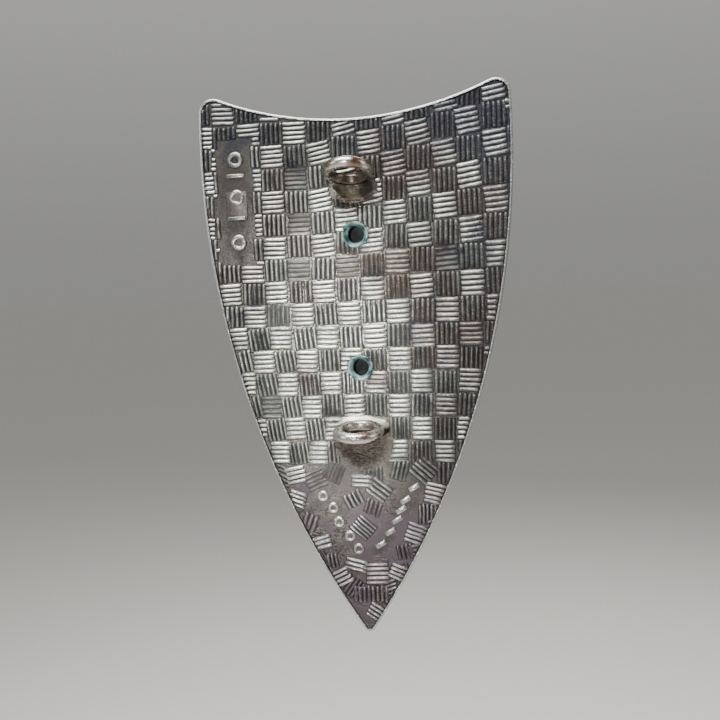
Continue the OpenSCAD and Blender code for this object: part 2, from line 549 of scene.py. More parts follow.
@dataclass(frozen=True)
class GiltTombac(Finish):
    """Cast brass with fire gilding that is bright on the high points and dark in the hollows."""

    title: str = "gilt tombac"
    slot: str = "gilt_tombac"
    gold: str = "#d9ae55"
    shade: str = "#5b4120"

    def build(self) -> bpy.types.Material:
        """Makes the material.

        Returns:
            The material.
        """
        material, add, mm = self.begin()
        # the hollows lie nearer the back
        proud = add(Kind.RAMP, add(Kind.AXES, mm).node.outputs["Y"], FRONT - 0.85, FRONT - 1.15)
        patches = self.grains(add, mm, 1.2, 4.0, seed=2.9)
        fine = self.grains(add, mm, 0.1, 3.0, seed=3.3)
        tone = add(Kind.PLUS, proud, add(Kind.RAMP, patches, 0.4, 0.65, 0.0, 0.5))
        return self.end(material, {
            "Base Color": add(Kind.BLEND, tone, linear(self.shade), linear(self.gold)),
            "Metallic": 1.0,
            "Roughness": add(Kind.RAMP, fine, 0.3, 0.7, 0.26, 0.42),
            "Normal": add(Kind.BUMP, fine, 0.02 * MM, 0.4),
        })


@dataclass(frozen=True)
class FiredEnamel(Finish):
    """Opaque glass enamel, ground level and fired, with faint pits and a deep gloss."""

    colour: str = "#1c3a86"
    depth_colour: str = "#16306f"

    def build(self) -> bpy.types.Material:
        """Makes the material.

        Returns:
            The material.
        """
        material, add, mm = self.begin()
        clouds = self.grains(add, mm, 3.0, 3.0, seed=1.2)
        pits = self.grains(add, mm, 0.25, 2.0, seed=5.9)
        return self.end(material, {
            "Base Color": add(Kind.BLEND, add(Kind.RAMP, clouds, 0.3, 0.7, 0.55, 1.0),
                              linear(self.depth_colour), linear(self.colour)),
            "Roughness": add(Kind.RAMP, pits, 0.6, 0.75, 0.12, 0.35),
            "IOR": 1.52,
            "Coat Weight": 0.7,
            "Coat Roughness": 0.05,
            "Normal": add(Kind.BUMP, pits, 0.01 * MM, 0.25),
        })


class EnamelTint(Enum):
    """The enamels on the front, with their slot names."""

    BLUE = FiredEnamel("deep blue enamel", "blue_enamel", "#1c3a86", "#16306f")
    IVORY = FiredEnamel("ivory enamel", "ivory_enamel", "#e9e3cf", "#dfd7bf")
    CRIMSON = FiredEnamel("crimson enamel", "crimson_enamel", "#9a1422", "#7f0f1b")


@dataclass
class Paintbox:
    """The materials, each made once."""

    made: dict[str, bpy.types.Material] = field(default_factory=dict)

    def get(self, finish: Finish) -> bpy.types.Material:
        """The material of that finish.

        Args:
            finish: The finish.

        Returns:
            Its material, made at its first use.
        """
        if finish.title not in self.made:
            self.made[finish.title] = finish.build()
        return self.made[finish.title]


PAINTS = Paintbox()


# ---------------------------------------------------------------- shared shapes


def mesh_of(shape: Shape, name: str) -> bpy.types.Mesh:
    """Turns a bmesh into a mesh.

    Args:
        shape: The bmesh, which is freed.
        name: The mesh's name.

    Returns:
        The mesh.
    """
    mesh = bpy.data.meshes.new(name)
    shape.to_mesh(mesh)
    shape.free()
    return mesh


def add_object(name: str, data: bpy.types.ID) -> bpy.types.Object:
    """Puts an object with that data into the scene.

    Args:
        name: The object's name.
        data: Its mesh, light or camera.

    Returns:
        The object.
    """
    thing = bpy.data.objects.new(name, data)
    bpy.context.collection.objects.link(thing)
    return thing


def join(target: Shape, part: Shape) -> None:
    """Moves one bmesh into another.

    Args:
        target: What takes the part in.
        part: The part, which is freed.
    """
    mesh = mesh_of(part, "part")
    target.from_mesh(mesh)
    bpy.data.meshes.remove(mesh)


def finish_piece(
    shape: Shape, name: str, finish: Finish, nodes: Sequence[str] = (), crease: float = 32.0
) -> bpy.types.Object:
    """Turns a bmesh in millimetres into a dressed piece that rides on the badge.

    Args:
        shape: The finished shape, which is freed.
        name: The piece's name.
        finish: Its finish.
        nodes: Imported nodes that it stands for.
        crease: Angle in degrees above which an edge stays sharp.

    Returns:
        The piece.
    """
    bmesh.ops.scale(shape, vec=(MM, MM, MM), verts=shape.verts)
    mesh = mesh_of(shape, name)
    mesh.shade_smooth()
    mesh.set_sharp_from_angle(angle=math.radians(crease))
    mesh.materials.append(PAINTS.get(finish))
    piece = add_object(name, mesh)
    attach(piece, "root")
    if nodes:
        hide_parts(*nodes)
    log.info("%s: %d faces", name, len(mesh.polygons))
    return piece


def spin_round(
    shape: Shape, geom: Sequence[object], centre: Vector, axis: Vector, steps: int
) -> None:
    """Spins vertices and edges all the way round an axis, and closes the seam.

    Args:
        shape: What they belong to.
        geom: The vertices and edges.
        centre: A point on the axis.
        axis: The axis.
        steps: Number of steps round the circle.
    """
    bmesh.ops.spin(
        shape, geom=geom, cent=centre, axis=axis, angle=math.tau, steps=steps, use_merge=True
    )
    bmesh.ops.remove_doubles(shape, verts=shape.verts, dist=MERGE)
    bmesh.ops.recalc_face_normals(shape, faces=shape.faces)


def spin_profile(
    profile: Sequence[tuple[float, float]], steps: int, centre: Vector, axis: Vector
) -> Shape:
    """Turns a profile all the way round an axis.

    Args:
        profile: Radius and height along the axis of each point, in order.
        steps: Number of steps round the circle.
        centre: A point on the axis, from which heights are counted.
        axis: The axis.

    Returns:
        The turned shape.
    """
    shape = bmesh.new()
    side = axis.orthogonal().normalized()
    points = [shape.verts.new(centre + side * r + axis * h) for r, h in profile]
    edges = [shape.edges.new(pair) for pair in zip(points, points[1:])]
    spin_round(shape, points + edges, centre, axis, steps)
    return shape


def soft_block(
    size: tuple[float, float, float], soft: float, segments: int, centre: Vector,
    turn: float = 0.0,
) -> Shape:
    """A block with softened edges.

    Args:
        size: Its size along X, Y and Z.
        soft: Radius of its edges.
        segments: Steps round an edge.
        centre: Its middle.
        turn: Degrees that it is turned in the plate's plane, from +X towards up.

    Returns:
        The block.
    """
    block = bmesh.new()
    bmesh.ops.create_cube(block, size=1.0)
    bmesh.ops.scale(block, vec=size, verts=block.verts)
    bmesh.ops.bevel(
        block, geom=block.edges[:], offset=soft, segments=segments, profile=0.5,
        affect="EDGES", material=-1,
    )
    bmesh.ops.rotate(block, matrix=Matrix.Rotation(math.radians(-turn), 3, "Y"), verts=block.verts)
    bmesh.ops.translate(block, vec=centre, verts=block.verts)
    return block


def round_block(radius: float, depth: float, centre: Vector, segments: int) -> Shape:
    """A cylinder that stands square to the plate.

    Args:
        radius: Its radius.
        depth: Its length along Y.
        centre: Its middle.
        segments: Number of its sides.

    Returns:
        The cylinder.
    """
    block = bmesh.new()
    bmesh.ops.create_cone(
        block, cap_ends=True, segments=segments, radius1=radius, radius2=radius, depth=depth,
        matrix=Matrix.Translation(centre) @ Matrix.Rotation(math.radians(90), 4, "X"),
    )
    return block


# ---------------------------------------------------------------- the struck plate


@dataclass
class ShieldOutline:
    """The shield's outline: two long arcs that meet at the tip, and a hollow top."""

    width: float = 25.7
    # to the sharp corners, before they are rounded
    height: float = 46.0
    side_radius: float = 71.8
    top_hollow: float = 2.95
    corner_radius: float = 1.2
    tip_radius: float = 0.5

    def __post_init__(self) -> None:
        """Works out the three circles."""
        self.side_x = self.side_radius - self.width / 2
        self.side_up = math.sqrt(self.side_radius**2 - self.side_x**2)
        corner = math.sqrt(self.side_radius**2 - (self.height - self.side_up) ** 2) - self.side_x
        self.top_radius = (corner**2 + self.top_hollow**2) / (2 * self.top_hollow)
        self.top_up = self.height - self.top_hollow + self.top_radius
        self.corner = self.meeting(
            Vector((-self.side_x, self.side_up)), self.side_radius - self.corner_radius,
            Vector((0, self.top_up)), self.top_radius + self.corner_radius,
        )

    def depth_inside(self, x: float, up: float) -> float:
        """How far a point lies inside the shield.

        Args:
            x: The point's place across the badge.
            up: Its height above the tip's sharp corner.

        Returns:
            Its distance from the nearest edge, less than 0 outside.
        """
        side = self.side_radius - math.hypot(abs(x) + self.side_x, up - self.side_up)
        top = math.hypot(x, up - self.top_up) - self.top_radius
        if side < self.corner_radius and top < self.corner_radius:
            return self.corner_radius - math.hypot(abs(x) - self.corner[0], up - self.corner[1])
        return min(side, top)

    def half(self, inset: float) -> list[tuple[float, float]]:
        """The outline's half on +X.

        Args:
            inset: How far it is set in.

        Returns:
            Its points, from the tip to the middle of the top.
        """
        corner_round = max(self.corner_radius - inset, 0.3)
        tip_round = max(self.tip_radius - inset, 0.2)
        side = Vector((-self.side_x, self.side_up))
        top = Vector((0, self.top_up))
        reach = self.side_radius - inset - tip_round
        tip = Vector((0, self.side_up - math.sqrt(reach**2 - self.side_x**2)))
        corner = self.meeting(
            side, self.side_radius - inset - corner_round,
            top, self.top_radius + inset + corner_round,
        )
        return [
            *self.arc(tip, tip_round, -90, self.bearing(side, tip), 6),
            *self.arc(side, self.side_radius - inset, self.bearing(side, tip),
                      self.bearing(side, corner), 44)[1:],
            *self.arc(corner, corner_round, self.bearing(side, corner),
                      self.bearing(corner, top), 8)[1:],
            *self.arc(top, self.top_radius + inset, self.bearing(top, corner), -90, 18)[1:],
        ]

    def loop(self, inset: float = 0.0) -> list[tuple[float, float]]:
        """Points all round the outline, set in by inset."""
        right = self.half(inset)
        return right + [(-x, up) for x, up in reversed(right[1:-1])]

    @staticmethod
    def bearing(start: Vector, end: Vector) -> float:
        """Direction from one point to another, in degrees."""
        return math.degrees(math.atan2(end[1] - start[1], end[0] - start[0]))

    @staticmethod
    def arc(
        centre: Vector, radius: float, start: float, end: float, steps: int
    ) -> list[tuple[float, float]]:
        """Points of an arc between two directions in degrees."""
        angles = [math.radians(start + (end - start) * i / steps) for i in range(steps + 1)]
        return [(centre[0] + radius * math.cos(a), centre[1] + radius * math.sin(a))
                for a in angles]

    @staticmethod
    def meeting(first: Vector, first_radius: float, second: Vector, second_radius: float) -> Vector:
        """The point on +X where two circles cross.

        Args:
            first: Middle of the first circle.
            first_radius: Its radius.
            second: Middle of the second circle.
            second_radius: Its radius.

        Returns:
            The point.
        """
        gap = second - first
        along = (gap.length_squared + first_radius**2 - second_radius**2) / (2 * gap.length)
        across = math.sqrt(first_radius**2 - along**2)
        way = gap.normalized()
        return first + way * along + Vector((way[1], -way[0])) * across


@dataclass
class RibPatch:
    """A patch of parallel ribs cut by hand.

    Args:
        x: Middle of the patch across the badge.
        up: Middle of the patch above the tip.
        length: Length of its ribs.
        breadth: Size of the patch across its ribs.
        angle: Direction of the ribs in degrees, turning from +X towards up.
        count: Number of ribs.
        level: How high its crests lie, where 0 is the rim.
    """

    x: float
    up: float
    length: float
    breadth: float
    angle: float
    count: int = 5
    level: float = -0.015


@dataclass
class StruckBack:
    """The back of the plate: basket weave, a plain panel with marks, and a thin bright rim."""

    outline: ShieldOutline
    cell: float = 2.02
    ribs_per_cell: int = 5
    rib_width: float = 0.36
    rib_spread: float = 1.06
    rim_width: float = 0.15
    weave_foot: float = 14.7
    grid_x: float = -0.3
    grid_up: float = 26.35
    rng: random.Random = field(default_factory=lambda: random.Random(SEED))

    def rib_template(self) -> bpy.types.Mesh:
        """One rib, a unit long along X, with a rounded ridge and sloping ends.

        Returns:
            Its mesh, 1 wide to each side, with its crest at a height of 1 and its foot at 0.
        """
        section = ((-1.0, 0.0), (-0.62, 0.42), (-0.26, 0.86), (0.0, 1.0), (0.26, 0.86),
                   (0.62, 0.42), (1.0, 0.0))
        shape = bmesh.new()
        points = [shape.verts.new((-0.5, y, 0.0)) for y, _ in section]
        edges = [shape.edges.new(pair) for pair in zip(points, points[1:])]
        for station in (-0.43, -0.22, 0.0, 0.22, 0.43, 0.5):
            grown = bmesh.ops.extrude_edge_only(shape, edges=edges)["geom"]
            fresh = [g for g in grown if isinstance(g, bmesh.types.BMVert)]
            edges = [g for g in grown if isinstance(g, bmesh.types.BMEdge)
                     and all(v in fresh for v in g.verts)]
            for vert in fresh:
                vert.co.x = station
                level = next(z for y, z in section if abs(y - vert.co.y) < 1e-6)
                vert.co.z = 0.0 if station == 0.5 else level
        bmesh.ops.recalc_face_normals(shape, faces=shape.faces)
        if sum(face.normal.z for face in shape.faces) < 0:
            bmesh.ops.reverse_faces(shape, faces=shape.faces)
        return mesh_of(shape, "rib_template")

    def is_bare(self, x: float, up: float) -> bool:
        """Whether the ground is smooth there, as round a rivet or a loop and in the panel.

        Args:
            x: The place across the badge.
            up: Its height above the tip's sharp corner.

        Returns:
            True where there are no ribs.
        """
        if any(math.hypot(x, up - r) < 1.02 for r in RIVETS_UP.values()):
            return True
        if math.hypot(x / 2.0, (up - 37.5) / 1.2) < 1:
            return True
        if math.hypot(x / 2.45, (up - 16.5) / 2.3) < 1:
            return True
        return 8.45 < x < 11.55 and 31.7 < up < 41.9

    def runs(self, start: Vector, end: Vector, free: bool) -> list[tuple[float, float]]:
        """Stretches of a rib's line that lie on the ground it may cover.

        Args:
            start: One end of the line.
            end: The other end.
            free: Whether it may cover the smooth places too.

        Returns:
            The start and the end of each stretch, as parts of the line's length.
        """
        steps = 40
        side = Vector((start[1] - end[1], end[0] - start[0])).normalized() * self.rib_width * 0.3
        found: list[tuple[float, float]] = []
        opened: float | None = None
        for i in range(steps + 1):
            point = start.lerp(end, i / steps)
            good = all(
                self.outline.depth_inside(p[0], p[1]) > self.rim_width
                for p in (point + side, point - side)
            )
            good = good and (free or not self.is_bare(point[0], point[1]))
            if good and opened is None:
                opened = i / steps
            if opened is not None and (not good or i == steps):
                found.append((opened, (i if good else i - 1) / steps))
                opened = None
        return found

    def add_rib(
        self, weave: Shape, template: bpy.types.Mesh, ends: tuple[Vector, Vector],
        width: float, level: Callable[[Vector], float], tone: float,
    ) -> None:
        """Adds one rib with a hand-cut waver.

        Args:
            weave: The ribs so far.
            template: The unit rib.
            ends: Its two ends on the ground.
            width: Its width.
            level: How far its crest lies over the rib tops' level, which is less than 0.
            tone: How bright its patch is, from 0 to 1: worn at random, with a painted highlight on
                level patches.
        """
        count = len(weave.verts)
        weave.from_mesh(template)
        weave.verts.ensure_lookup_table()
        layer = weave.verts.layers.float["patch_tone"]
        start, end = ends
        along = end - start
        length = along.length
        way = along / length
        side = Vector((-way[1], way[0]))
        middle = (start + end) / 2
        stations = 8
        waver = [self.rng.gauss(0, 0.009) for _ in range(stations)]
        swell = [1 + self.rng.gauss(0, 0.05) for _ in range(stations)]
        dip = [abs(self.rng.gauss(0, 0.008)) for _ in range(stations)]
        foot = -FLOOR_DEPTH - 0.005
        for vert in weave.verts[count:]:
            station = min(int((vert.co.x + 0.5) * (stations - 0.001)), stations - 1)
            across = vert.co.y * width / 2 * swell[station] + waver[station]
            flat = middle + way * (vert.co.x * length) + side * across
            crest = min(level(flat) - dip[station], -0.004)
            vert.co = at(flat[0], flat[1], foot + vert.co.z * (crest - foot))
            vert[layer] = tone

    def fill(
        self, weave: Shape, template: bpy.types.Mesh, patch: RibPatch, free: bool
    ) -> None:
        """Cuts the ribs of one patch, on a plane of its own that tilts a little.

        Args:
            weave: The ribs so far.
            template: The unit rib.
            patch: The patch.
            free: Whether it may cover the smooth places too.
        """
        angle = math.radians(patch.angle)
        way = Vector((math.cos(angle), math.sin(angle)))
        side = Vector((-way[1], way[0]))
        centre = Vector((patch.x, patch.up))
        pitch = patch.breadth / patch.count
        tone = self.rng.random() * 0.55
        # painted highlight: level patches get 0.45 more tone, so their ribs read bright as if lit
        # from above
        if abs(math.cos(angle)) > 0.7:
            tone += 0.45
        tilt = Vector((self.rng.gauss(0, 0.012), self.rng.gauss(0, 0.012)))
        sink = patch.level - abs(self.rng.gauss(0, 0.008))
        if self.rng.random() < 0.07:
            sink, tone = sink - 0.06, tone + 0.2
        for n in range(patch.count):
            offset = (n - (patch.count - 1) / 2) * pitch + self.rng.gauss(0, 0.011)
            half = patch.length / 2 * (1 - abs(self.rng.gauss(0, 0.02)))
            slip = self.rng.gauss(0, 0.03)
            start = centre + side * offset - way * (half - slip)
            end = centre + side * offset + way * (half + slip)
            drop = abs(self.rng.gauss(0, 0.008))
            for low, high in self.runs(start, end, free):
                if (high - low) * patch.length < 0.3:
                    continue
                self.add_rib(
                    weave, template, (start.lerp(end, low), start.lerp(end, high)),
                    pitch * self.rib_spread,
                    lambda spot: sink - drop + (spot - centre).dot(tilt), tone,
                )

    def squeeze(self, x: float, up: float) -> float:
        """Where a column that stands at x in the middle of the badge lies at that height."""
        below = max(27.0 - up, 0.0)
        return x * (1 - (0.017 if x > 0 else 0.007) * below)

    def weave_patches(self) -> list[RibPatch]:
        """The squares of the basket weave, level and upright by turns.

        Returns:
            The squares.
        """
        found = []
        for column in range(-7, 8):
            x0 = self.grid_x + (column - 0.5) * self.cell
            # the rows close up a little on the side of +X
            above = 1.87 + 0.02 * max(3.0 - x0, 0.0)
            for row in range(-8, 12):
                pitch = above if row >= 0 else 1.93
                up = self.grid_up + (row + 0.5) * pitch + self.rng.gauss(0, 0.05)
                if up < self.weave_foot or up > 46.5:
                    continue
                x = self.squeeze(x0, up) + self.rng.gauss(0, 0.05)
                breadth = self.cell * (1 - 0.012 * max(27.0 - up, 0.0))
                upright = (column + row) % 2 == 0
                lean = self.rng.gauss(0, 1.2)
                if upright:
                    lean -= math.degrees(x0 * (0.017 if x > 0 else 0.007)) * (up < 27)
                    found.append(RibPatch(x, up, pitch, breadth, 90 + lean, self.ribs_per_cell))
                else:
                    lean -= math.degrees(0.02 * max(row + 0.5, 0)) * (x0 < 3)
                    found.append(RibPatch(x, up, breadth, pitch, lean, self.ribs_per_cell))
        return found

    def hand_patches(self) -> list[RibPatch]:
        """The slanted patches that fill the ground round the marks, down to the tip.

        Returns:
            The patches.
        """
        return [
            RibPatch(0.2, 13.3, 1.9, 1.1, 3, 3),
            RibPatch(-1.2, 12.5, 2.0, 1.6, 36, 4),
            RibPatch(0.95, 11.7, 1.3, 1.6, 62, 4),
            RibPatch(-5.0, 14.2, 2.1, 1.9, 40, 5),
            RibPatch(-3.0, 14.2, 1.8, 1.4, 105, 4),
            RibPatch(-5.9, 12.2, 1.9, 1.8, 12, 5),
            RibPatch(-5.2, 10.5, 1.8, 1.6, 92, 5),
            RibPatch(-4.2, 8.8, 1.9, 1.8, 18, 5),
            RibPatch(0.25, 9.3, 1.9, 1.6, 40, 5),
            RibPatch(-0.6, 11.0, 1.3, 1.5, 112, 4),
            RibPatch(1.0, 6.1, 2.1, 1.1, 14, 3),
            RibPatch(-0.8, 5.4, 2.1, 1.9, -2, 5),
            RibPatch(-2.6, 5.5, 1.6, 1.4, 20, 4),
            RibPatch(-3.2, 7.3, 1.3, 1.4, 80, 4),
            RibPatch(-0.2, 3.6, 1.4, 3.0, 90, 8),
            RibPatch(-0.5, 2.1, 1.3, 1.4, 30, 4),
            RibPatch(4.9, 9.6, 1.9, 1.3, 112, 3),
            RibPatch(3.9, 8.0, 1.9, 1.3, -16, 3),
            RibPatch(2.3, 5.0, 1.8, 1.5, -26, 4),
            RibPatch(5.8, 11.7, 1.6, 1.4, 20, 4),
            RibPatch(5.9, 13.8, 1.8, 1.5, -12, 4),
            RibPatch(3.0, 6.4, 1.2, 1.0, 80, 3),
            RibPatch(-6.8, 13.9, 1.9, 1.5, 93, 4),
        ]

    def under_patches(self) -> list[RibPatch]:
        """Fainter, lower patches that show between the others near the tip.

        Returns:
            The patches.
        """
        found = []
        above = self.hand_patches()
        for row in range(11):
            for column in range(-5, 6):
                x = 1.55 * (column + 0.5 * (row % 2)) + self.rng.gauss(0, 0.2)
                up = 1.6 + 1.35 * row + self.rng.gauss(0, 0.2)
                if up > 14.6 or any(math.hypot(x - p.x, up - p.up) < 1.15 for p in above):
                    continue
                # the middle stays smooth round the two slanting rows of marks
                if 6.6 < up < 13.2 and abs(x) < 0.55 * (up - 6.2) + 1.9:
                    continue
                angle = self.rng.choice((-60, -25, 20, 62, 95)) + self.rng.gauss(0, 8)
                found.append(RibPatch(x, up, 1.9, 1.7, angle, 5, -0.075))
        return found

    def build_weave(self) -> bpy.types.Object:
        """Cuts all the ribs.

        Returns:
            The piece.
        """
        template = self.rib_template()
        weave = bmesh.new()
        weave.verts.layers.float.new("patch_tone")
        for patches, free in (
            (self.weave_patches, False), (self.hand_patches, True), (self.under_patches, False)
        ):
            for patch in patches():
                self.fill(weave, template, patch, free)
        bpy.data.meshes.remove(template)
        return finish_piece(weave, "woven_ribs", RIB_SILVER, crease=60)

    @staticmethod
    def add_ring(marks: Shape, x: float, up: float, radius: float) -> None:
        """Adds a small raised ring with a hollow middle.

        Args:
            marks: The marks so far.
            x: The ring's place across the badge.
            up: Its height above the tip's sharp corner.
            radius: Its radius.
        """
        ring = spin_profile(
            [(radius * 0.35, -FLOOR_DEPTH - 0.05), (radius * 0.42, -0.07), (radius * 0.62, -0.02),
             (radius * 0.84, -0.04), (radius * 1.05, -FLOOR_DEPTH - 0.05)],
            20, at(x, up), Vector((0, 1, 0)),
        )
        join(marks, ring)

    @staticmethod
    def add_bar(
        marks: Shape, x: float, up: float, size: tuple[float, float], turn: float = 0.0,
        top: float = -0.02,
    ) -> None:
        """Adds a small raised bar.

        Args:
            marks: The marks so far.
            x: The bar's place across the badge.
            up: Its height above the tip's sharp corner.
            size: Its length and its breadth.
            turn: Its direction in degrees, turning from +X towards up.
            top: How high it reaches over the rib tops.
        """
        length, breadth = size
        high = FLOOR_DEPTH + 0.05 + top
        centre = at(x, up, top - high / 2)
        join(marks, soft_block((length, high, breadth), min(high, breadth) * 0.3, 2, centre, turn))

    def build_marks(self) -> bpy.types.Object:
        """Strikes the panel's marks and the two slanting rows above the tip.

        Returns:
            The piece.
        """
        marks = bmesh.new()
        for up in (40.3, 37.2, 33.5):
            self.add_ring(marks, 9.9, up, 0.72)
        for up in (39.0, 35.5):
            self.add_bar(marks, 9.95, up, (1.5, 0.3))
        # the worn patch in the middle of the panel
        self.add_bar(marks, 9.9, 36.6, (1.75, 2.2), top=-0.09)
        for x, up in ((3.6, 12.0), (2.75, 11.0), (2.3, 9.8), (1.4, 8.6), (0.7, 7.5)):
            self.add_ring(marks, x, up, 0.5)
        for x, up in (
            (-1.2, 7.9), (-2.05, 9.0), (-2.65, 10.0), (-3.0, 10.85), (-3.4, 11.7), (-4.15, 12.75)
        ):
            self.add_bar(marks, x, up, (0.95, 0.42), -30)
        return finish_piece(marks, "ground_marks", MARK_SILVER, crease=50)


@dataclass
class PlateBody:
    """The plate itself: its rims, the sunken ground of the back and the cells of the front."""

    outline: ShieldOutline
    back_rim: float = 0.1
    front_rim: float = 1.0
    wall: float = 0.45
    enamel_depth: float = 0.5
    drill_radius: float = 1.03
    softness: float = 0.07

    def slab(self) -> Shape:
        """The plate with softened edges, a sunken back ground and a recessed front field.

        Returns:
            The plate, not drilled yet.
        """
        soft = self.softness
        ground = BACK - FLOOR_DEPTH
        field_level = FRONT + self.enamel_depth
        steps = (
            (self.front_rim + 0.03, field_level), (self.front_rim - 0.02, FRONT + 0.03),
            (self.front_rim - soft, FRONT), (soft, FRONT), (0.3 * soft, FRONT + 0.3 * soft),
            (0.0, FRONT + soft), (0.0, BACK - soft), (0.3 * soft, BACK - 0.3 * soft),
            (soft, BACK), (soft + self.back_rim, BACK), (2 * soft + self.back_rim, ground),
        )
        shape = bmesh.new()
        last: list[bmesh.types.BMVert] = []
        for number, (inset, level) in enumerate(steps):
            rim = [shape.verts.new((x, level, up - TIP_DROP))
                   for x, up in self.outline.loop(inset)]
            if number in (0, len(steps) - 1):
                shape.faces.new(rim)
            for n in range(len(last)):
                shape.faces.new((last[n - 1], last[n], rim[n], rim[n - 1]))
            last = rim
        bmesh.ops.recalc_face_normals(shape, faces=shape.faces)
        return shape

    def build(self) -> bpy.types.Object:
        """Makes the plate, drills it for the rivets and stands the walls between the cells.

        Returns:
            The piece.
        """
        shape = self.slab()
        for up in RIVETS_UP.values():
            self.drill(shape, up)
        thick = self.enamel_depth
        # the walls end 0.02 mm below the rim, so that the two faces don't lie in one plane
        middle = FRONT + thick / 2 + 0.02
        top = self.outline.height - self.outline.top_hollow - 0.5
        reach = self.outline.depth_inside(0, ROUNDEL_UP)
        for length, high, up in (
            (self.wall, top - 1.0, (top + 1.0) / 2), (2 * reach - 1.0, self.wall, ROUNDEL_UP)
        ):
            centre = Vector((0, middle, up - TIP_DROP))
            join(shape, soft_block((length, thick, high), 0.04, 2, centre))
        seat = Vector((0, middle, ROUNDEL_UP - TIP_DROP))
        join(shape, round_block(ROUNDEL_RADIUS - 0.5, thick, seat, 72))
        return finish_piece(shape, "struck_plate", GROUND_SILVER, ["shield_plate"], crease=28)

    def drill(self, shape: Shape, up: float) -> None:
        """Cuts a rivet hole right through the plate.

        Args:
            shape: The plate.
            up: The hole's height above the tip's sharp corner.
        """
        mesh = bpy.data.meshes.new("plate")
        shape.to_mesh(mesh)
        plate = add_object("plate", mesh)
        middle = Vector((0, (FRONT + BACK) / 2, up - TIP_DROP))
        drill = add_object("drill", mesh_of(round_block(self.drill_radius, 4.0, middle, 48), "drill"))
        cut = plate.modifiers.new("hole", "BOOLEAN")
        cut.operation = "DIFFERENCE"
        cut.solver = "EXACT"
        cut.object = drill
        result = plate.evaluated_get(bpy.context.evaluated_depsgraph_get())
        shape.clear()
        shape.from_mesh(result.to_mesh())
        result.to_mesh_clear()
        for thing in (plate, drill):
            data = thing.data
            bpy.data.objects.remove(thing)
            bpy.data.meshes.remove(data)


# ---------------------------------------------------------------- fittings of the back


class Side(Enum):
    """Which of the two fittings of a pair, with the way that its loop leans."""

    UPPER = 1
    LOWER = -1

    def node(self, fitting: str) -> str:
        """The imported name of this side's fitting."""
        return f"{self.name.lower()}_{fitting}"


@dataclass
class WireLoop:
    """A soldered wire ring that leans outwards, with its foot buried in solder."""

    side: Side
    foot_up: float
    lean: float
    ring_radius: float = 1.65
    wire_radius: float = 0.45
    pin_radius: float = 1.25
    finish: SilveredWire = SilveredWire()

    def build(self) -> bpy.types.Object:
        """Bends the ring and wears it where the pin runs.

        Returns:
            The piece.
        """
        lean = Matrix.Rotation(math.radians(self.lean) * self.side.value, 3, "X")
        away = lean @ Vector((0, 1, 0))
        centre = at(0, self.foot_up) + away * (-BACK / away.y)
        axis = lean @ Vector((0, 0, 1))
        shape = bmesh.new()
        start = centre - away * self.ring_radius
        wire = bmesh.ops.create_circle(
            shape, segments=20, radius=self.wire_radius,
            matrix=Matrix.Translation(start) @ lean.to_4x4()
            @ Matrix.Rotation(math.radians(90), 4, "Y"),
        )
        spin_round(shape, wire["verts"] + shape.edges[:], centre, axis, 72)
        for vert in shape.verts:
            lump = noise.noise(vert.co * 0.9 + Vector((self.foot_up, 0, 0)))
            vert.co += vert.normal * max(lump, 0) * 0.03
            flat = Vector((vert.co.x, vert.co.y, 0))
            if flat.length < self.pin_radius:
                flat *= self.pin_radius / flat.length
                vert.co.x, vert.co.y = flat.x, flat.y
            vert.co.y = max(min(vert.co.y, CAD_BOX[1][1] / MM), BACK - FLOOR_DEPTH)
        node = self.side.node("loop")
        return finish_piece(shape, node + "_wire", self.finish, [node], crease=70)


@dataclass
class SolderPool:
    """A hand-laid pool of solder round a loop's foot, scraped and lumpy."""

    side: Side
    x: float
    up: float
    half_width: float
    half_height: float
    rise: float
    finish: SoftSolder = SoftSolder()

    def build(self) -> bpy.types.Object:
        """Lays the pool.

        Returns:
            The piece.
        """
        rings = 14
        disc = [(i / rings, 0.0) for i in range(rings + 1)]
        shape = spin_profile(disc, 64, Vector((0, 0, 0)), Vector((0, 1, 0)))
        rim = [e for e in shape.edges if e.is_boundary]
        skirt = bmesh.ops.extrude_edge_only(shape, edges=rim)
        sunk = {g for g in skirt["geom"] if isinstance(g, bmesh.types.BMVert)}
        bmesh.ops.contextual_create(shape, geom=[e for e in shape.edges if e.is_boundary])
        seed = Vector((self.up, self.x, 3.3))
        for vert in shape.verts:
            reach = math.hypot(vert.co.x, vert.co.z)
            way = math.atan2(vert.co.z, vert.co.x)
            ragged = 1 + 0.05 * math.sin(3 * way + self.up) + 0.03 * math.sin(7 * way + 1.3)
            x = self.x + vert.co.x * self.half_width * ragged
            up = self.up + vert.co.z * self.half_height * ragged
            lump = noise.noise(Vector((x * 1.1, up * 1.1, 0)) + seed)
            fine = noise.noise(Vector((x * 4.0, up * 2.0, 5.0)) + seed)
            dome = (1 - reach**2.2) ** 1.2 if reach < 1 else 0.0
            out = -FLOOR_DEPTH - 0.02 + dome * (self.rise + FLOOR_DEPTH) * (1 + 0.3 * lump)
            out += dome * 0.05 * fine
            vert.co = at(x, up, -FLOOR_DEPTH - 0.12 if vert in sunk else min(out, 0.63))
        bmesh.ops.recalc_face_normals(shape, faces=shape.faces)
        node = self.side.node("loop_solder")
        return finish_piece(shape, node + "_pool", self.finish, [node], crease=70)


